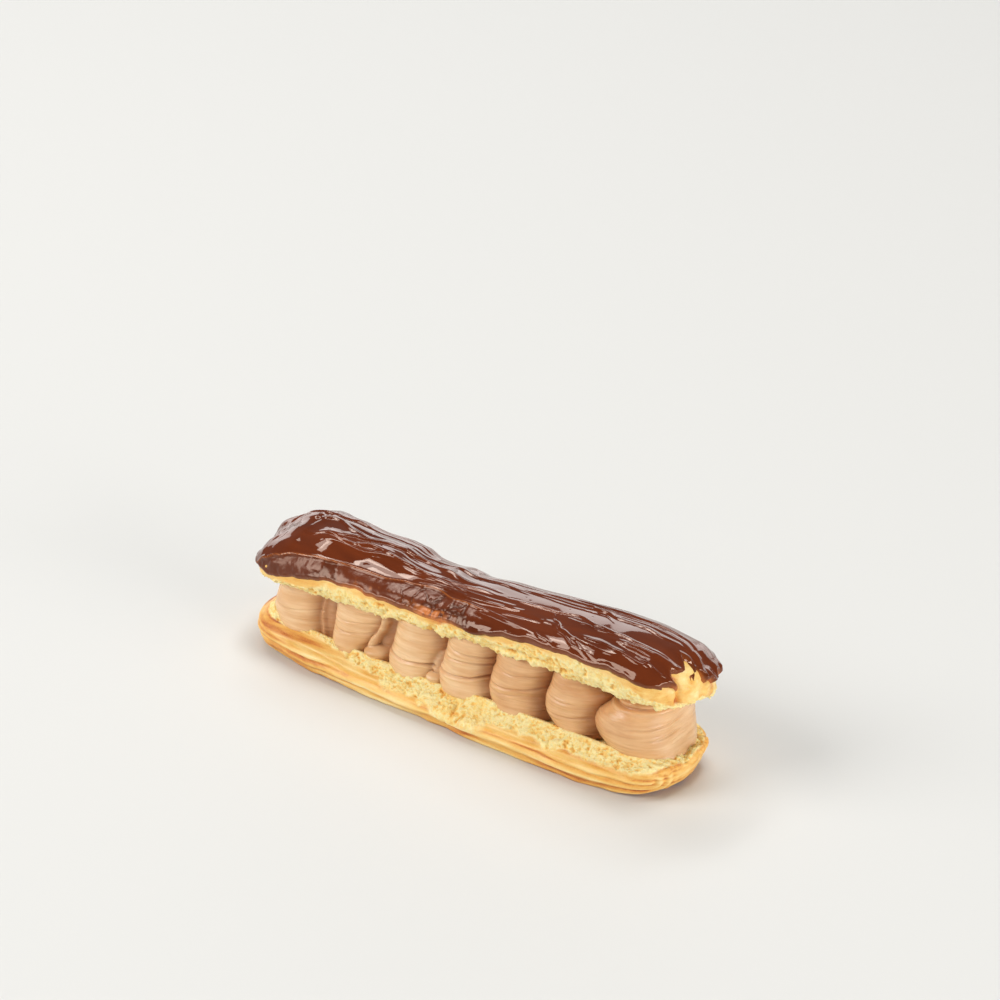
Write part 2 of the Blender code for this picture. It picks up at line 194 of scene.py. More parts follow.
# How far a mound's rounded face stands out, its slant (x gained for each mm towards +Y), the
# height of its waves and fine lines, and how much painted shade browns its recessed sides.
MOUND = {"side": 7.2, "slant": 0.22, "wave": 0.39, "lines": 1.0, "recess_shade": 0.6}
LAST_MOUND = {"side": 10.0, "slant": 0.0, "wave": 0.156, "lines": 0.4, "recess_shade": 0.1}
MOUND_RINGS = 88
MOUND_POINTS = 112  # on each half of a ring
SUNK = 1.8  # how far the foot of a mound is below the crumb
CREAM_PALE = (0.08,) * 4 + (-0.09,) * 3

# Soft panels: (name, azimuth, elevation, metres away, size in metres, radiance).
PANELS = (
    ("key", -42, 33, 2.3, (1.3, 1.2), 7.6),
    ("band", -132, 52, 2.5, (1.8, 0.46), 4.8),
    ("horizon", -146, 8, 2.7, (4.3, 0.76), 2.0),
    ("over", 140, 80, 2.7, (0.9, 0.7), 14.5),
    ("strip", -108, 55, 2.5, (0.9, 0.3), 7.5),
    ("front", 14, 20, 2.7, (1.2, 0.6), 1.5),
    ("side", 86, 12, 1.6, (0.85, 0.53), 11.0),
)
AMBIENT = 0.16
FLOOR_REACH = 6.0
FLOOR_COLOUR = (215, 214, 210)

# The camera looks down on the near +X corner.
CAMERA_AZIMUTH, CAMERA_ELEVATION, CAMERA_DISTANCE = 38, 29.8, 0.664
CAMERA_TARGET = (-0.0015, 0.0014, 0.008)
CAMERA_PITCH, CAMERA_YAW = 4.097, -0.65
CAMERA_LENS = 85


# ---- numbers ----

def along(stations, x):
    """Smooth value at x, in frame millimetres, between (x, value) stations."""
    return between(stations, np.asarray(x) + MIDDLE_X)


def between(stations, place, flowing=False):
    """Value at `place` between (place, value) stations, level at each or one curve through all."""
    places, values = np.array(stations, float).T
    index = np.clip(np.searchsorted(places, place) - 1, 0, len(places) - 2)
    width = places[index + 1] - places[index]
    share = np.clip((place - places[index]) / width, 0, 1)
    rise = values[index + 1] - values[index]
    if not flowing:
        return values[index] + rise * share * share * (3 - 2 * share)
    slopes = np.gradient(values, places)
    start, stop = slopes[index] * width, slopes[index + 1] * width
    bend = share * (1 - share) * ((start - rise) * (1 - share) - (stop - rise) * share)
    return values[index] + rise * share + bend


def ease(low, high, value):
    """0 below low, 1 above high and smooth between; it falls where low is above high."""
    share = np.clip((value - low) / (high - low), 0, 1)
    return share * share * (3 - 2 * share)


def hump(value, middle, width):
    """1 at the middle, falling to nothing about two widths away."""
    return np.exp(-(((value - middle) / width) ** 2))


LATTICE = np.random.default_rng(11).random((64, 64, 64))
CENTRES = np.random.default_rng(12).random((32, 32, 32, 3))


def noise(points, size, layer=0):
    """Smooth noise from -1 to 1 with lumps about `size` mm across, in one number or three."""
    place = points / np.asarray(size, float) + 17.37 * layer
    cell = np.floor(place).astype(int)
    part = place - cell
    part = part * part * (3 - 2 * part)
    total = 0.0
    for corner in np.ndindex(2, 2, 2):
        weight = np.prod(np.where(corner, part, 1 - part), axis=-1)
        index = (cell + corner) % len(LATTICE)
        total = total + weight * LATTICE[index[..., 0], index[..., 1], index[..., 2]]
    return 2 * total - 1


def layers(points, size, count, layer=0):
    """Noise with `count` finer and weaker layers in it."""
    size = np.asarray(size, float)
    return sum(noise(points, size / 2**n, layer + n) / 2**n for n in range(count))


def bubbles(points, size, layer=0):
    """Distances to the nearest two scattered centres, in sizes, and the nearest one's own share."""
    place = points / size + 9.13 * layer
    cell = np.floor(place).astype(int)
    first = np.full(place.shape[:-1], 9.0)
    second = first.copy()
    own = first.copy()
    for offset in np.ndindex(3, 3, 3):
        near = cell + offset - 1
        index = near % len(CENTRES)
        jitter = CENTRES[index[..., 0], index[..., 1], index[..., 2]]
        distance = np.linalg.norm(place - near - jitter, axis=-1)
        closer = distance < first
        second = np.where(closer, first, np.minimum(second, distance))
        own = np.where(closer, jitter[..., 0], own)
        first = np.minimum(first, distance)
    return first, second, own


def crumb_relief(points, layer=0):
    """(height, pit shade) of torn crumb in mm and shares: bubbles of three sizes with thin walls; the shade
    is painted, deepest in hollows and low places.
    """
    warp = np.stack([layers(points, 1.8, 2, layer + n) for n in (1, 2, 3)], -1)
    warped = points + 0.7 * warp
    height = 0.42 * layers(points, 4.0, 2, layer + 4) + 0.2 * layers(points, 1.0, 2, layer + 8)
    pit_shade = 0.0
    for size, depth, share in ((3.4, 0.4, 0.16), (1.7, 0.34, 0.36), (0.9, 0.32, 0.8)):
        first, second, own = bubbles(warped * (0.75, 1.0, 1.0), size, layer + size)
        hollow = ease(share, share - 0.2, own) * ease(0.75, 0.2, first)
        wall = ease(0.2, 0.02, second - first)
        height = height - depth * hollow + 0.3 * depth * wall
        pit_shade = pit_shade + hollow * depth
    return height, np.clip(0.75 * pit_shade - 0.45 * height, 0, 1)


def inside_of(corners, place):
    """How far each (x, y) place lies inside a closed outline, below 0 outside it."""
    corners = np.array(corners, float)
    nearest = np.full(place.shape[:-1], 1e9)
    crossings = np.zeros(place.shape[:-1])
    for start, stop in zip(corners, np.roll(corners, -1, 0)):
        run = stop - start
        share = np.clip(((place - start) @ run) / (run @ run), 0, 1)
        nearest = np.minimum(nearest, np.linalg.norm(place - start - share[..., None] * run, axis=-1))
        spans = (start[1] > place[..., 1]) != (stop[1] > place[..., 1])
        rise = run[1] if run[1] else 1e-9
        crossings += spans & (place[..., 0] < start[0] + (place[..., 1] - start[1]) / rise * run[0])
    return np.where(crossings % 2 == 1, nearest, -nearest)


# ---- meshes ----

def box_mm(node):
    low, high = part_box(node)
    return np.array(low) / MM, np.array(high) / MM


def outward(grid, closed=True):
    """Unit normals of a grid of rings, or of open lines, pointing out."""
    around = np.roll(grid, -1, 1) - np.roll(grid, 1, 1) if closed else np.gradient(grid, axis=1)
    normals = np.cross(np.gradient(grid, axis=0), around)
    normals /= np.linalg.norm(normals, axis=-1, keepdims=True) + 1e-9
    return normals * np.sign(np.sum((grid - grid.mean((0, 1))) * normals))


def faces_of(rings, segments):
    """Quads between closed rings and a fan of triangles at each end."""
    index = np.arange(rings * segments).reshape(rings, segments)
    after = np.roll(index, -1, 1)
    quads = np.stack([index[:-1], after[:-1], after[1:], index[1:]], -1).reshape(-1, 4)
    first = np.full(segments, rings * segments)
    start = np.stack([after[0], index[0], first], -1)
    end = np.stack([index[-1], after[-1], first + 1], -1)
    return quads, np.concatenate([start, end])


def add_object(name, data):
    made = bpy.data.objects.new(name, data)
    bpy.context.scene.collection.objects.link(made)
    return made


def skin(name, grid, look, tints):
    """A closed mesh over a grid in millimetres, with each tint as a value on its points."""
    rings, segments = grid.shape[:2]
    points = np.concatenate([grid.reshape(-1, 3), [grid[0].mean(0)], [grid[-1].mean(0)]])
    quads, fans = faces_of(rings, segments)
    corners = [points[quads[:, n]] for n in range(4)]
    volume = np.sum(np.cross(corners[0], corners[1]) * corners[2])
    volume += np.sum(np.cross(corners[0], corners[2]) * corners[3])
    if volume < 0:
        quads, fans = quads[:, ::-1], fans[:, ::-1]
    mesh = bpy.data.meshes.new(name)
    mesh.from_pydata((points * MM).tolist(), [], quads.tolist() + fans.tolist())
    mesh.shade_smooth()
    for tint, values in tints.items():
        values = np.broadcast_to(values, (rings, segments))
        values = np.concatenate([values.reshape(-1), [values[0].mean(), values[-1].mean()]])
        layer = mesh.attributes.new(tint, "FLOAT", "POINT")
        layer.data.foreach_set("value", values.astype(np.float32))
    mesh.materials.append(look)
    return add_object(name, mesh)


def declare(piece, nodes):
    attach(piece, "root")
    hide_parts(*nodes)


def spread(points, counts, marks):
    """Points at even lengths between marked places on each line.

    `points` is [line, point, xyz], `marks` are places in a line and `counts` the steps between
    them. Returns the grid, the length at each of its points and the length at each mark.
    """
    steps = np.linalg.norm(np.diff(points, axis=1), axis=-1)
    lengths = np.concatenate([np.zeros((len(points), 1)), np.cumsum(steps, 1)], 1)
    at_marks = lengths[:, marks]
    wanted = [at_marks[:, :1]]
    for n, count in enumerate(counts):
        share = np.arange(1, count + 1) / count
        wanted.append(at_marks[:, n:n + 1] + (at_marks[:, n + 1:n + 2] - at_marks[:, n:n + 1]) * share)
    wanted = np.concatenate(wanted, 1)
    grid = np.empty((*wanted.shape, 3))
    for line in range(len(points)):
        for axis in range(3):
            grid[line, :, axis] = np.interp(wanted[line], lengths[line], points[line, :, axis])
    return grid, wanted, at_marks


def evened(line, count=None):
    """Points at even lengths along an (x, y) line, STEP apart unless counted, and the lengths."""
    lengths = np.concatenate([[0], np.cumsum(np.linalg.norm(np.diff(line, axis=0), axis=1))])
    count = count or int(lengths[-1] / STEP)
    wanted = np.arange(count) * lengths[-1] / count
    return np.stack([np.interp(wanted, lengths, line[:, n]) for n in (0, 1)], -1), wanted


def softened(grid, rounds):
    """The grid with each ring's points drawn towards their neighbours."""
    for _ in range(rounds):
        grid = 0.5 * grid + 0.25 * (np.roll(grid, 1, 1) + np.roll(grid, -1, 1))
    return grid


# ---- materials ----

def linear(colour):
    """Shader colour of an sRGB colour given from 0 to 255."""
    share = np.array(colour, float) / 255
    return (*np.where(share < 0.04045, share / 12.92, ((share + 0.055) / 1.055) ** 2.4), 1.0)


class Look:
    """A material, with short calls that add its nodes and join them."""

    def __init__(self, name):
        self.made = bpy.data.materials.new(name)
        self.made.use_nodes = True
        self.tree = self.made.node_tree
        self.shader = self.tree.nodes["Principled BSDF"]
        self.place = self.add("ShaderNodeTexCoord").outputs["Object"]

    def put(self, socket, value):
        if isinstance(value, bpy.types.NodeSocket):
            self.tree.links.new(value, socket)
        else:
            socket.default_value = value

    def add(self, kind, inputs=None, **settings):
        made = self.tree.nodes.new(kind)
        for name, value in settings.items():
            setattr(made, name, value)
        for name, value in (inputs or {}).items():
            self.put(made.inputs[name], value)
        return made

    def set(self, **inputs):
        for name, value in inputs.items():
            self.put(self.shader.inputs[name.replace("_", " ")], value)

    def tint(self, name):
        return self.add("ShaderNodeAttribute", attribute_name=name).outputs["Fac"]

    def grain(self, size, detail=3.0, stretch=(1, 1, 1), distortion=0.0):
        """Noise from 0 to 1 with lumps about `size` mm across, longer along stretched axes."""
        scale = [1 / s for s in stretch]
        place = self.add("ShaderNodeMapping", {"Vector": self.place, "Scale": scale})
        inputs = {"Vector": place.outputs[0], "Scale": 1 / (size * MM), "Detail": detail}
        inputs["Distortion"] = distortion
        return self.add("ShaderNodeTexNoise", inputs).outputs["Fac"]

    def pores(self, size):
        """1 in the middle of scattered pores about `size` mm apart and 0 on the walls between."""
        scale = 1 / (size * MM)
        warp = self.add("ShaderNodeTexNoise", {"Vector": self.place, "Scale": 0.7 * scale})
        push = self.add("ShaderNodeVectorMath", {0: warp.outputs["Color"]}, operation="SCALE")
        push.inputs["Scale"].default_value = 1.2 / scale
        bent = self.add("ShaderNodeVectorMath", {0: self.place, 1: push.outputs[0]}, operation="ADD")
        cells = self.add("ShaderNodeTexVoronoi", {"Vector": bent.outputs[0], "Scale": scale})
        return self.ramp(cells.outputs["Distance"], ((0.1, 1.0), (0.5, 0.0)))

    def ramp(self, value, stops):
        """Value to a colour or a number, through (place, sRGB colour or number) stops."""
        node = self.add("ShaderNodeValToRGB", {"Fac": value})
        marks = node.color_ramp.elements
        while len(marks) < len(stops):
            marks.new(0.5)
        for mark, (place, shade) in zip(marks, stops):
            mark.position = place
            mark.color = linear(shade) if isinstance(shade, tuple) else (shade, shade, shade, 1)
        return node.outputs["Color"]

    def mix(self, share, first, second):
        node = self.add("ShaderNodeMix", data_type="RGBA")
        self.put(node.inputs[0], share)
        self.put(node.inputs[6], first)
        self.put(node.inputs[7], second)
        return node.outputs[2]

    def math(self, operation, first, second):
        node = self.add("ShaderNodeMath", operation=operation)
        self.put(node.inputs[0], first)
        self.put(node.inputs[1], second)
        return node.outputs[0]

    def plus(self, value, other, share=1.0):
        """The value with a share of another added."""
        return self.math("ADD", value, self.math("MULTIPLY", other, share))

    def shift(self, value, amount, reach):
        """The value moved by up to half of `reach` either way by an amount from 0 to 1."""
        return self.plus(value, self.math("SUBTRACT", amount, 0.5), reach)

    def soften(self, weight, radius):
        """Lets light a little way in, further in red than in blue."""
        self.set(Subsurface_Weight=weight, Subsurface_Scale=0.0015, Subsurface_Radius=radius)

    def bump(self, height, distance, strength=1.0):
        """Joins a bump of `distance` mm to the shader."""
        inputs = {"Height": height, "Distance": distance * MM, "Strength": strength}
        self.set(Normal=self.add("ShaderNodeBump", inputs).outputs[0])


def choux_look(name):
    """Baked crust and pale torn crumb with painted ochre shade in its pits and pores, from the tints crumb,
    bake and the pit shade.
    """
    look = Look(name)
    crumb = look.tint("crumb")
    pores = look.math("MAXIMUM", look.math("MULTIPLY", look.pores(0.9), 0.6), look.pores(1.7))
    bake = look.shift(look.tint("bake"), look.grain(5, 4, (4, 1, 1)), 0.5)
    bake = look.shift(bake, look.grain(0.35, 3), 0.3)
    bake = look.shift(bake, look.grain(0.8, 5, (9, 3, 1)), 0.5)
    crust = look.ramp(bake, ((0.0, (253, 227, 163)), (0.3, (247, 207, 128)), (0.55, (238, 182, 92)),
                             (0.75, (218, 142, 68)), (0.9, (186, 101, 46)), (1.0, (120, 58, 26))))
    # Painted shade: the crumb turns ochre-brown in its pits and in the middle of its pores.
    deep = look.plus(look.shift(look.tint("pit_shade"), look.grain(0.5, 5), 0.7), pores, 0.22)
    inner = look.ramp(deep, ((0.0, (255, 236, 172)), (0.3, (255, 220, 136)), (0.6, (248, 188, 92)),
                             (1.0, (214, 128, 50))))
    look.set(Base_Color=look.mix(crumb, crust, inner), Specular_IOR_Level=0.35)
    look.set(Roughness=look.ramp(crumb, ((0.0, 0.42), (1.0, 0.8))))
    look.soften(0.12, (1.0, 0.6, 0.25))
    torn = look.math("MULTIPLY", crumb, look.plus(look.grain(0.5, 5), pores, -0.7))
    look.bump(look.plus(torn, look.grain(0.5, 6), 0.3), 0.3, 0.9)
    return look.made


def cream_look():
    """Glossy cream with fine lines round it, browner with painted shade where the tint deep is high."""
    look = Look("cream")
    streaks = look.math("MULTIPLY", look.grain(1.6, 4, (7, 7, 1), 0.4), 0.6)
    shade = look.plus(streaks, look.grain(9, 2), 0.4)
    # The tint pale holds each mound's tone, plus painted light on the last mound's +X side.
    shade = look.math("ADD", shade, look.tint("pale"))
    body = look.ramp(shade, ((0.3, (212, 158, 107)), (0.5, (228, 180, 129)), (0.7, (241, 202, 154))))
    # The brown that the tint deep mixes in is painted shade for creases, grooves and recesses.
    look.set(Base_Color=look.mix(look.tint("deep"), body, linear((166, 100, 58))))
    look.set(Roughness=0.27, Specular_IOR_Level=0.5)
    look.soften(0.12, (1.0, 0.6, 0.4))
    look.bump(look.grain(0.55, 4, (12, 12, 1), 0.2), 0.3, 0.9)
    return look.made


def chocolate_look():
    """Mirror-like chocolate, orange where the tint thin is high, darker with painted shade where the tint
    crack is, rougher where dull is.
    """
    look = Look("chocolate")
    dark = look.ramp(look.grain(7, 3, (3, 1, 1)), ((0.3, (88, 35, 13)), (0.7, (108, 46, 18))))
    # Painted shade: darker brown along the fine cracks of the flank.
    dark = look.mix(look.math("MULTIPLY", look.tint("crack"), 0.6), dark, linear((62, 27, 12)))
    look.set(Base_Color=look.mix(look.tint("thin"), dark, linear((204, 118, 56))))
    look.set(Roughness=look.math("ADD", look.math("MULTIPLY", look.tint("dull"), 0.2), 0.04))
    look.set(Specular_IOR_Level=0.5, IOR=1.5, Specular_Tint=(1.0, 0.78, 0.62, 1.0))
    look.bump(look.grain(1.4, 3, (4, 1, 1)), 0.04, 0.3)
    return look.made


# ---- choux base ----

def base_outline():
    """Even points round the base as (x, y), their outward directions and lengths from +X near."""
    low, high = box_mm("choux_base")
    turn = np.linspace(-math.pi / 2, math.pi / 2, 241)[:-1]
    parts = []
    for half, (tip, far_tip) in enumerate(((high[0], low[0]), (low[0], high[0]))):
        way = 1 - 2 * half
        corner = np.array(BASE_CORNERS)[np.where(turn > 0, 2 * half + 1, 2 * half)]
        reach = corner[:, 0] * np.cos(turn) ** (2 / corner[:, 1])
        wide = np.sign(turn) * np.abs(np.sin(turn)) ** (2 / corner[:, 1])
        parts.append(np.stack([tip - way * (corner[:, 0] - reach), way * wide], -1))
        here = tip - way * BASE_CORNERS[2 * half + 1][0]
        there = far_tip + way * BASE_CORNERS[(2 * half + 2) % 4][0]
        side = np.linspace(here, there, 600)[:-1]
        parts.append(np.stack([side, np.full_like(side, way)], -1))
    line = np.concatenate(parts + [parts[0][:1]])
    line[:, 1] *= along(BASE_HALF_WIDTH, line[:, 0])
    even, lengths = evened(line)
    even = softened(even[None], 12)[0]
    tangent = np.roll(even, -1, 0) - np.roll(even, 1, 0)
    normal = np.stack([tangent[:, 1], -tangent[:, 0]], -1)
    normal /= np.linalg.norm(normal, axis=1, keepdims=True)
    return even, normal, lengths


def base_profile(x):
    """[place on the outline, level, (inset, z)] of the section, foot to trough, and its marks."""
    rim = along(RIM_Z, x)
    crumb = along(CRUMB_Z, x)
    levels = ((17.0, 0), (6.2, 0), (4.6, 0.05), (2.9, 0.5), (1.5, 1.5), (0.7, 2.8), (0.3, 4.2),
              (0.25, rim - 1.2), (0.8, rim - 0.1), (1.9, rim + 0.35),
              (3.7, rim + 0.55 * (crumb - rim)), (5.2, crumb), (6.2, crumb - 0.3),
              (7.0, TROUGH_Z + 0.2), (9.0, TROUGH_Z), (17.0, TROUGH_Z))
    under = 2.2 * ease(60, 72, x)
    levels = [(inset + under * np.clip(1 - z / rim, 0, 1) ** 1.2, z + 0 * x, 0 * x)
              for inset, z in levels]
    points = np.stack([np.stack(level, -1) for level in levels], 1)
    return points, (0, 2, 8, 11, 13, 15)


def base_place(outline, normal, inset):
    """Points `inset` mm inside the outline, drawn in to the middle line where it is deep."""
    near = np.minimum(inset, 6.0)
    plan = outline[:, None] - normal[:, None] * near[..., None]
    deep = (np.maximum(inset, 6.0) - 6.0) / 11.5
    ends = outline[:, 0].min() + 18, outline[:, 0].max() - 18
    spine = np.stack([np.clip(outline[:, 0], *ends), 0 * outline[:, 0]], -1)[:, None]
    return plan + (spine - plan) * deep[..., None]


def wall_ridges(grid, length):
    """Piped ridges from the -X end along the near wall to a swirl; the far wall has none."""
    here = length[:, None]
    past = np.where(here <= length.max() / 2, np.maximum(0, here - SWIRL_AT), 0)
    drift = 0.6 * noise(grid, (30, 30, 400), 3) + 0.25 * noise(grid, (9, 9, 400), 4)
    ring = np.hypot(past * 0.7, grid[..., 2] - RIDGE_Z - drift)
    ridges = np.cos(TAU * ring / RIDGE_PITCH) * ease(10, 5, past)
    return ridges * (0.75 + 0.5 * noise(grid, (14, 14, 2), 6))


def wall_relief(grid, ridges):
    x, y = grid[..., 0], grid[..., 1]
    crest = np.abs(ridges) ** 0.8 * np.sign(ridges)
    full = WALL_FULLNESS * ease(-68, -44, x) * ease(66, 45, x) * (y < 0)
    return 0.4 * crest + 0.4 * layers(grid, (11, 11, 4), 3, 5) + full


def base_tear(grid, past_rim):
    """0 on the crust and 1 on the torn crumb, `past_rim` rows past the rim."""
    ragged = noise(grid, (7, 7, 3), 7) + 0.8 * noise(grid, 2.4, 8) + 0.4 * noise(grid, 0.9, 9)
    return ease(-0.5, 0.4, past_rim * 0.24 - along(BASE_TORN, grid[..., 0]) + ragged)


def base_crumb(grid):
    """Height of the crumb with its larger bubbles, and the painted shade in its pits."""
    height, pit_shade = crumb_relief(grid, 20)
    for x, y, radius, depth in BASE_HOLLOWS:
        dent = hump(np.hypot(grid[..., 0] - x, grid[..., 1] - y), 0, radius)
        height = height * (1 - 0.7 * dent) - depth * dent
        pit_shade = pit_shade * (1 - 0.7 * dent) + 0.28 * depth * dent
    return 1.1 * height + 0.4 * noise(grid, 5, 30) + 0.2, pit_shade


def base_bake(grid, x, z, ridges):
    """How far the crust is baked: less on the ridges, more at the foot and towards the ends."""
    streaks = 0.8 * layers(grid, (22, 22, 1.0), 3, 40) + 0.7 * layers(grid, (9, 9, 0.5), 3, 44)
    bake = 0.42 - 0.3 * ridges + 0.25 * ease(3.5, 0.3, z) + 0.24 * streaks
    return bake + 0.2 * ease(10, 45, x) + 0.2 * ease(-34, -62, x) - 0.05 * ease(-30, -10, x)


def make_base():
    outline, normal, length = base_outline()
    profile, marks = base_profile(outline[:, 0])
    flat, _, _ = spread(profile, BASE_STEPS, marks)
    plan = base_place(outline, normal, flat[..., 0])
    grid = np.concatenate([plan, flat[..., 1:2]], -1)
    x, z = grid[..., 0], grid[..., 2]
    past_rim = np.arange(grid.shape[1]) - BASE_RIM_ROW
    on_wall = ease(0.1, 0.9, z) * ease(0.3, 1.6, -0.3 * past_rim)
    ridges = wall_ridges(grid, length)
    torn = base_tear(grid, past_rim)
    crumb, pit_shade = base_crumb(grid)
    ragged = ease(66, 73, x) * hump(z, 8.5, 2.2) * hump(past_rim, 2, 12)
    lift = on_wall * wall_relief(grid, ridges) + torn * ease(30, 14, past_rim) * crumb
    lift = lift + ragged * (0.9 * noise(grid, 2.2, 32) + 0.5 * noise(grid, 0.9, 33))
    normals = outward(np.transpose(grid, (1, 0, 2))).transpose(1, 0, 2)
    grid = grid + normals * lift[..., None]
    grid[..., 2] = np.maximum(grid[..., 2], 0)
    bake = np.clip(base_bake(grid, x, z, on_wall * ridges), 0, 1)
    # The pit tint is painted shade in the crumb's hollows.
    tints = {"crumb": torn.T, "bake": bake.T, "pit_shade": (pit_shade * torn).T}
    piece = skin("base_choux", np.transpose(grid, (1, 0, 2)), choux_look("base_choux"), tints)
    declare(piece, ["choux_base"])


# ---- lid ----

def ceiling(x, y):
    return along(LID_UNDERSIDE_Z, x) - along(LID_ROLL, x) * y


def lid_rings():
    """x and the share of the full section of each ring."""
    low, high = box_mm("choux_top")
    left = low[0] + LID_END_LENGTHS[0]
    right = high[0] - LID_END_LENGTHS[1]
    opening = np.linspace(math.pi / 2 - 0.03, 0, 66)[:-1]
    closing = np.linspace(0, math.pi / 2 - 0.03, 62)[1:]
    body = np.linspace(left, right, int((right - left) / STEP))
    x = np.concatenate([left - LID_END_LENGTHS[0] * np.sin(opening), body,
                        right + LID_END_LENGTHS[1] * np.sin(closing)])
    share = np.concatenate([np.cos(opening), np.ones_like(body), np.cos(closing)])
    return x, share


def lid_sections(x, share):
    """Each section's outline from the middle of the underside, up the near side and over."""
    x, share = x[:, None], share[:, None]
    half_width = along(LID_HALF_WIDTH, x) * share
    rim = along(LID_RIM_RISE, x)
    crest = along(LID_CREST_RISE, x)
    across, fall = np.array(LID_UNDER + LID_STRIP).T
    turn = np.linspace(0, math.pi, 91)
    low_rise = rim + rim * fall * share**0.5
    top_rise = rim + (crest - rim) * share * np.sin(turn) ** 0.85
    y = np.concatenate([-across * half_width, -np.cos(turn) * half_width,
                        across[::-1] * half_width], 1)
    rise = np.concatenate([low_rise, top_rise, low_rise[:, ::-1]], 1)
    points = np.stack([x + 0 * y, y, ceiling(x + 0 * y, y) + rise], -1)
    lip = len(LID_UNDER)
    rim_at = len(across)
    last = points.shape[1] - 1
    return points, (0, lip, rim_at, last - rim_at, last - lip, last)


def lid_tear(grid, over):
    """0 on the lid's crust and 1 on its torn crumb."""
    ragged = 0.9 * noise(grid, (5, 3, 3), 50) + 0.5 * noise(grid, 1.4, 51)
    return ease(-0.35, 0.35, -over - along(LID_GOLD, grid[..., 0]) + ragged)


def lid_relief(grid, over, strip, torn, crumb):
    """Crust, crumb and the ragged lip between them, `strip` mm below the rim."""
    x, y = grid[..., 0], grid[..., 1]
    lift = (1 - torn) * (0.3 * layers(grid, (14, 7, 7), 3, 70) + 0.12 * noise(grid, (3, 1.2, 1.2), 75))
    lift = lift + torn * (crumb + 0.35 * noise(grid, 4, 71) + 0.1)
    ragged = 0.8 * noise(grid, (1.5, 1.5, 3), 72) + 0.5 * noise(grid, 0.8, 73)
    lift = lift + hump(-over, strip, 1.2) * torn * ragged
    lift = lift - 1.7 * hump(x, 22, 8) * hump(over, -3.4, 1.3) * (y < 0)
    end = 0.6 * hump(y, -3, 4.5) - 1.1 * hump(y, LID_GROOVE_Y, 0.9) + 0.3 * layers(grid, 2.4, 3, 84)
    return lift + ease(69, 72, x) * (over > -3.5) * end


def lid_bake(grid, over):
    """How far the lid's crust is baked, burnt in one place by the rim, and darker down the +X end's groove
    with painted shade.
    """
    x, y = grid[..., 0], grid[..., 1]
    burnt = hump(x, 0.0, 7.0) * (y < 0) * ease(-2.2, -0.5, over)
    bake = 0.3 + 0.16 * ease(-1.2, 0.4, over) * ease(45, 30, x) + 0.35 * burnt
    # The groove's extra bake is painted shade in it.
    end = 0.1 + 0.25 * layers(grid, (3, 3, 3), 3, 82) + 0.3 * hump(y, LID_GROOVE_Y, 0.9)
    return bake + 0.15 * noise(grid, (9, 4, 4), 80) + ease(60, 68, x) * end


def make_lid_choux(x, share):
    points, marks = lid_sections(x, share)
    grid, length, at_marks = spread(points, LID_STEPS, marks)
    grid, length = softened(grid[:, :-1], 3), length[:, :-1]
    over = np.minimum(length - at_marks[:, 2:3], at_marks[:, 3:4] - length)    # mm above the nearer rim
    strip = np.minimum((at_marks[:, 2] - at_marks[:, 1])[:, None], 9.0)
    torn = lid_tear(grid, over)
    height, pit_shade = crumb_relief(grid, 60)
    lift = lid_relief(grid, over, strip, torn, height) * ease(0.0, 0.15, share[:, None])
    under = ease(strip * 0.6, strip * 1.4, -over)
    grid = grid + outward(grid) * lift[..., None]
    bake = np.clip(lid_bake(grid, over), 0, 1)
    # The pit tint is painted shade in the crumb's hollows, weaker on the underside.
    tints = {"crumb": torn, "bake": bake, "pit_shade": pit_shade * torn * (1 - 0.5 * under)}
    piece = skin("lid_choux", grid, choux_look("lid_choux"), tints)
    declare(piece, ["choux_top"])


# ---- chocolate ----

def icing_inside(points, over, share, whole):
    """Millimetres inside the edge of the chocolate, below 0 outside it."""
    x = points[..., 0]
    wobble = 0.5 * noise(points, (5, 60, 60), 100) + 0.3 * noise(points, (1.9, 30, 30), 101)
    near = over - along(ICING_NEAR, x) - wobble
    far_edge = 1.2 + 1.6 * noise(points, (9, 90, 90), 102) + 0.7 * noise(points, (3, 90, 90), 103)
    far = whole * (1 - share) - far_edge
    end = np.full(x.shape, 9.0)
    end[x > 62] = inside_of(ICING_END, points[x > 62][:, 1:])
    return np.minimum(np.minimum(near, far), end)


def lanes(x, share):
    """Lanes and fine lines, which sweep down towards the near +X corner."""
    sweep = ease(5, 60, x) * ease(0.75, 0.3, share)
    lane = np.stack([x, share * 40 + 9 * sweep, 0 * x], -1)
    lane[..., 1] += 1.5 * noise(lane, (26, 10, 1), 110)
    fine = 0.04 + 0.2 * ease(0.3, 0.42, share) + 0.08 * ease(12, 32, x) * ease(0.45, 0.34, share)
    depth = 0.36 * noise(lane, (40, 8, 1), 111) + fine * noise(lane, (46, 2.7, 1), 112)
    crest = ease(0.32, 0.0, np.abs(noise(lane, (48, 3.4, 1), 113)))
    shown = ease(-0.5, 0.2, noise(lane, (24, 6, 1), 114))
    return depth + 0.3 * crest * shown * ease(0.04, 0.12, share)


def stroke(x, share, whole, path, near_fall, far_fall, height):
    """A line of chocolate along a path, tapering at its ends."""
    start, stop = path[0][0] - MIDDLE_X, path[-1][0] - MIDDLE_X
    away = (share - along(path, x)) * whole
    taper = ease(start, start + 0.3 * (stop - start), x) * ease(stop, stop - 0.3 * (stop - start), x)
    return height * taper * ease(-near_fall, 0, away) * ease(far_fall, 0, away)


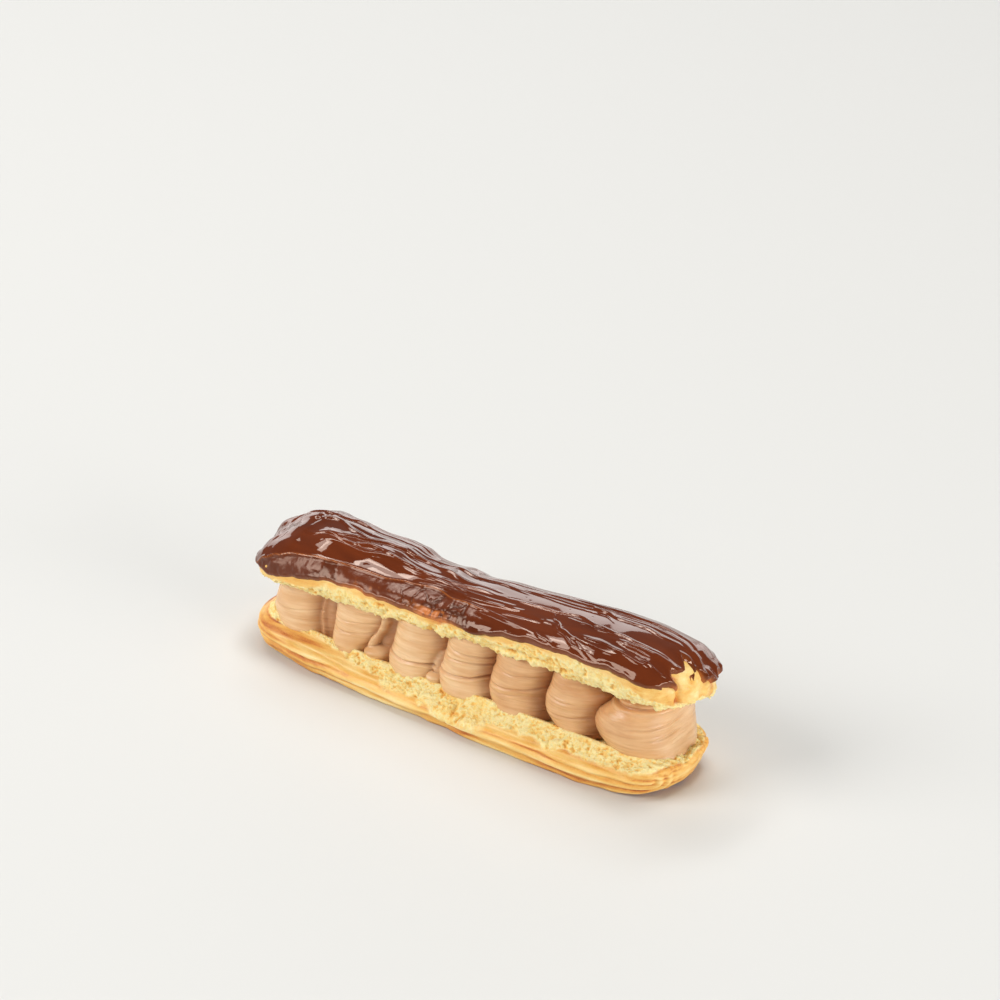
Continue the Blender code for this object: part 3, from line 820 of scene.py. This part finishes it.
def strokes(x, share, whole):
    """The lines in STROKES and some scattered ones."""
    total = sum(stroke(x, share, whole, *form) for form in STROKES)
    chance = np.random.default_rng(31)
    for _ in range(EXTRA_STROKES):
        start, reach = chance.uniform(-68, 55), chance.uniform(20, 60)
        place, drift = chance.uniform(0.06, 0.97), chance.uniform(-0.03, 0.03)
        falls = chance.uniform(0.3, 0.8), chance.uniform(0.5, 3.0)
        height = chance.uniform(0.1, 0.34)
        stations = np.linspace(start, min(start + reach, 74), 5)
        sweep = 0.22 * ease(5, 60, stations) * ease(0.75, 0.3, place)
        path = np.stack([stations, place + drift * np.linspace(-1, 1, 5) - sweep], -1)
        total = total + stroke(x, share, whole, path, *falls, height)
    return total


def cracks(points):
    """1 along the fine cracks of the near flank."""
    bent = points + 0.9 * np.stack([layers(points, 1.6, 2, n) for n in (122, 124, 126)], -1)
    first, second, _ = bubbles(bent * (1, 0.7, 0.7), 4.4, 128)
    cracked = ease(-0.3, 0.3, noise(points, (14, 30, 30), 129) + 0.3)
    return ease(0.12, 0.03, second - first) * cracked * ease(-48, -40, points[..., 0])


def flank_relief(points, crack):
    """The flank lies deeper, wrinkled at its -X end and cracked elsewhere."""
    x = points[..., 0]
    rough = 0.1 + 0.3 * ease(-42, -56, x) * ease(-73, -68, x)
    wrinkles = rough * layers(points, (2.2, 3, 3), 3, 117) - 0.2 * crack
    return np.maximum(wrinkles, -0.25) - 0.3


def end_relief(points):
    """Lumps over both ends, and drips along the +X edge."""
    x, y, z = np.moveaxis(points, -1, 0)
    beads = sum(height * hump(np.hypot(y - at_y, z - at_z), 0, radius)
                for at_y, at_z, radius, height in ICING_BEADS)
    right = 0.4 * ease(68, 72, x) * ease(-2, 2, y) * layers(points, 2.6, 2, 121)
    left = 0.25 * ease(-50, -66, x) * layers(points, (4, 3, 3), 2, 115)
    return beads * (x > 68) + right + left


def swell(x, share):
    """The ridge and the crown, which fade out towards the near rim."""
    ridge = 0.9 * hump(share, 0.44, 0.07) * hump(x, -27, 16)
    crown = sum(height * hump(x, at_x, width) for at_x, width, height in ICING_CROWN)
    notch = 0.4 * hump(x, -56.5, 0.9) * hump(share, 0.5, 0.12)
    return ridge + crown * ease(0.28, 0.6, share) * (1 - notch)


def pinholes(points, share):
    pits, _, own = bubbles(points, 2.4, 118)
    return 0.16 * ease(0.12, 0.04, pits) * (own > 0.45) * (share > 0.2)


def thin_places(points, share, inside, flank):
    """Where the crust shows orange through the chocolate, from 0 to 1."""
    x, near = points[..., 0], share < 0.3
    rim = ease(1.3, 0.1, inside) * (0.12 + 0.8 * (hump(x, -28, 9) + hump(x, -1, 7)) * near)
    spots = ease(0.35, 0.75, layers(points, 1.1, 3, 120)) * hump(x, -20, 12)
    film = hump(x, -3, 5.5) * ease(2.9, 2.2, inside) * ease(0.35, -0.1, layers(points, 1.1, 2, 131))
    end = ease(71, 73, x) * ease(0.7, 0.2, inside)
    return rim + 0.35 * flank * spots * ease(3.6, 2.6, inside) + 0.9 * film * near + 0.5 * end


def icing_depth(points, over, share):
    """Depth of the chocolate and its tints, `over` mm past the near rim of the lid.

    `share` is the share of the way to the far rim. Below 0 the chocolate dips into the choux.
    """
    x = points[..., 0]
    whole = over / np.maximum(share, 0.02)
    inside = icing_inside(points, over, share, whole)
    above_ledge = (share - along(LEDGE, x)) * whole
    ledged = ease(16, 6, x)
    flank = ease(0.5, -0.4, above_ledge) * ledged
    crack = cracks(points)
    depth = ICING_DEPTH + end_relief(points) + lanes(x, share) * (1 - 0.85 * flank)
    depth = depth + strokes(x, share, whole) * (1 - 0.7 * flank)
    depth = depth + flank * flank_relief(points, crack) + 0.28 * hump(above_ledge, 0.25, 0.4) * ledged
    depth = depth + swell(x, share) - pinholes(points, share) + 0.25 * hump(inside, 0.8, 0.5)
    depth = depth * np.sqrt(np.clip(inside / ICING_EDGE_WIDTH, 0, 1))
    depth = np.where(inside < 0, np.maximum(inside * 0.8, -2.2), depth)
    thin = thin_places(points, share, inside, flank) + 0.5 * hump(above_ledge, 0.3, 0.15) * ledged
    dull = flank * (1 + 0.6 * ease(-40, -56, x))
    return depth, {"thin": np.clip(thin, 0, 1), "dull": dull, "crack": crack * flank * (inside > 0.6)}


def make_icing(x, share):
    points, marks = lid_sections(x, share)
    rim, far_rim = marks[2], marks[3]
    grid, length, at_marks = spread(points, ICING_STEPS, (rim - 3, rim, far_rim, far_rim + 3))
    over = length - at_marks[:, 1:2]
    whole = (at_marks[:, 2] - at_marks[:, 1])[:, None]
    normals = outward(grid, closed=False)
    depth, tints = icing_depth(grid, over, np.clip(over / whole, -0.1, 1.1))
    outer = grid + normals * depth[..., None]
    back = np.linspace(0, grid.shape[1] - 1, 16).round().astype(int)[::-1][1:-1]
    inner = (grid + np.minimum(-1.2, depth - 0.5)[..., None] * normals)[:, back]
    tints = {name: np.concatenate([values, values[:, back]], 1) for name, values in tints.items()}
    piece = skin("chocolate", np.concatenate([outer, inner], 1), chocolate_look(), tints)
    declare(piece, ["chocolate_icing"])


# ---- cream ----

def lobe_depth(x, left, right, reach, side):
    """How far out a lobe reaches at x, and less than any other beside it."""
    place = (x - (left + right) / 2) / ((right - left) / 2)
    front = side * np.sqrt(np.clip(1 - place * place, 0, 1))
    return np.where(np.abs(place) < 1.001, reach - side + front, 0.5 * side)


def half_outline(lobes, z, side):
    """(x, depth) places at height z, from the -X side to the +X side, and the sum of those sides."""
    forms = [[between([(s[0], s[n]) for s in lobe], z, flowing=True) for n in (1, 2, 3)]
             for lobe in lobes]
    low, high = min(f[0] for f in forms), max(f[1] for f in forms)
    x = low + (high - low) * (1 - np.cos(np.linspace(0, math.pi, 301))) / 2
    sides = [side] + [min(side, 0.5 * (f[1] - f[0])) for f in forms[1:]]
    depth = np.max([lobe_depth(x, *f, s) for f, s in zip(forms, sides)], axis=0)
    line = np.concatenate([[(low, 0)], np.stack([x, depth], -1), [(high, 0)]])
    return evened(line, MOUND_POINTS)[0], low + high


def mound_section(lobes, z, side, slant):
    """Closed outline at height z; the far side is the near side turned half way round."""
    half, ends = half_outline(lobes, z, side)
    far = np.stack([ends - half[:, 0], half[:, 1]], -1)
    line = np.concatenate([half * (1, -1), far])
    line[:, 0] += slant * (line[:, 1] + 8)
    return softened(line[None], 2)[0]


def crease_relief(grid, creases, middle):
    """Grooves with a soft lip on each side, along paths on both faces of a mound."""
    relief = 0.0
    faces = ((grid[..., 0], ease(2, -2, grid[..., 1])),
             (2 * middle - grid[..., 0], ease(-2, 2, grid[..., 1])))
    for (x, face), (path, depth, width) in itertools.product(faces, creases):
        start, stop = path[0][0], path[-1][0]
        away = grid[..., 2] - between(path, x)
        taper = ease(start - 1, start + 2.5, x) * ease(stop + 1, stop - 2.5, x)
        groove = hump(away, 0, width) - 0.4 * hump(away, -2 * width, 1.3 * width)
        groove = groove - 0.3 * hump(away, 2 * width, 1.3 * width)
        relief = relief - 0.75 * depth * taper * groove * face
    return relief


def mound_grid(lobes, kind, middle):
    """Rings of a mound from the crumb to the lid."""
    foot = along(CRUMB_Z, middle) - SUNK
    head = ceiling(middle, -12) + 0.5
    level = np.linspace(0, 1, MOUND_RINGS)
    heights = foot + (head - foot) * level
    flat = np.stack([mound_section(lobes, z, kind["side"], kind["slant"]) for z in heights])
    heads = ceiling(flat[..., 0], flat[..., 1]) + 0.5
    return np.concatenate([flat, (foot + (heads - foot) * level[:, None])[..., None]], -1)


def fine_lines(grid, index):
    """Fine level lines round a mound, in mm."""
    place = grid * (0.1, 0.1, 1) + 31.0 * index
    place[..., 2] += 0.8 * noise(grid + 13.0 * index, (7, 7, 6), 205)
    return 0.11 * noise(place, (1, 1, 1.5), 210) + 0.06 * noise(place, (1, 1, 0.5), 211)


def capped(grid):
    """The grid with two smaller rings inside its first ring and its last."""
    rings = [grid]
    for part in (0.7, 0.35):
        for end, where in ((-1, len(rings)), (0, 0)):
            centre = grid[end].mean(0)
            rings.insert(where, (centre + (grid[end] - centre) * part)[None])
    return np.concatenate(rings)


def make_cream(index, look):
    name = f"cream_{index + 1}"
    low, high = box_mm(name)
    middle = (low[0] + high[0]) / 2
    lobes, creases = CREAM_FORMS[index]
    last = index == len(CREAM_FORMS) - 1
    kind = LAST_MOUND if last else MOUND
    grid = mound_grid(lobes, kind, middle)
    wave = layers(grid + 50.0 * index, (9, 9, 5), 2, 200)
    lines = kind["lines"] * fine_lines(grid, index)
    grooves = crease_relief(grid, creases, middle)
    grid = grid + outward(grid) * (kind["wave"] * wave + lines + grooves)[..., None]
    # Painted shade: the sides sunk back between mounds, the crease grooves and the fine-line grooves get
    # browner.
    recess_shade = kind["recess_shade"] * ease(13.0, 9.5, np.abs(grid[..., 1]))
    if index == 0:
        recess_shade = recess_shade * ease(middle - 4, middle + 4, grid[..., 0])
    deep = np.clip(-0.5 * grooves - 0.35 * lines, 0, 0.5) + recess_shade
    deep = np.pad(deep, ((2, 2), (0, 0)))
    grid = capped(grid)
    # The last mound's +X side is made paler: painted light from the right.
    pale = CREAM_PALE[index] + 0.2 * last * ease(60, 70, grid[..., 0])
    piece = skin(f"cream_mound_{index + 1}", grid, look, {"deep": deep, "pale": pale})
    declare(piece, [name])


# ---- stage ----

def panel(name, azimuth, elevation, distance, size, radiance):
    """A soft light of given radiance that faces the eclair; azimuth 0 is the -Y side, 90 the +X."""
    turn, tilt = math.radians(azimuth), math.radians(elevation)
    away = Vector((math.sin(turn) * math.cos(tilt), -math.cos(turn) * math.cos(tilt), math.sin(tilt)))
    light = bpy.data.lights.new(name, "AREA")
    light.shape = "RECTANGLE"
    light.size, light.size_y = size
    light.energy = radiance * math.pi * size[0] * size[1]
    lamp = add_object(name, light)
    lamp.location = away * distance
    lamp.rotation_euler = away.to_track_quat("Z", "Y").to_euler()


def make_floor():
    mesh = bpy.data.meshes.new("floor")
    corners = [(-1, -1), (1, -1), (1, 1), (-1, 1)]
    mesh.from_pydata([(x * FLOOR_REACH, y * FLOOR_REACH, 0) for x, y in corners], [], [(0, 1, 2, 3)])
    look = Look("floor")
    look.set(Base_Color=linear(FLOOR_COLOUR), Roughness=0.55, Specular_IOR_Level=0.2)
    mesh.materials.append(look.made)
    floor = add_object("floor", mesh)


def make_lights():
    world = bpy.data.worlds.new("studio")
    world.use_nodes = True
    background = world.node_tree.nodes["Background"]
    background.inputs["Color"].default_value = (1.0, 1.0, 1.0, 1.0)
    background.inputs["Strength"].default_value = AMBIENT
    bpy.context.scene.world = world
    for form in PANELS:
        panel(*form)
    bpy.context.scene.view_settings.view_transform = "Standard"


def make_camera():
    azimuth, elevation = math.radians(CAMERA_AZIMUTH), math.radians(CAMERA_ELEVATION)
    back = Vector((math.sin(azimuth) * math.cos(elevation), -math.cos(azimuth) * math.cos(elevation),
                   math.sin(elevation)))
    pitch = Quaternion((1, 0, 0), math.radians(CAMERA_PITCH))
    yaw = Quaternion((0, 1, 0), math.radians(CAMERA_YAW))
    camera = add_object("camera", bpy.data.cameras.new("camera"))
    camera.data.lens = CAMERA_LENS
    camera.data.sensor_width = 36
    camera.location = Vector(CAMERA_TARGET) + back * CAMERA_DISTANCE
    camera.rotation_mode = "QUATERNION"
    camera.rotation_quaternion = back.to_track_quat("Z", "Y") @ pitch @ yaw
    bpy.context.scene.camera = camera


def main():
    make_camera()
    make_floor()
    make_lights()
    make_base()
    x, share = lid_rings()
    make_lid_choux(x, share)
    make_icing(x, share)
    look = cream_look()
    for index in range(len(CREAM_FORMS)):
        make_cream(index, look)


main()
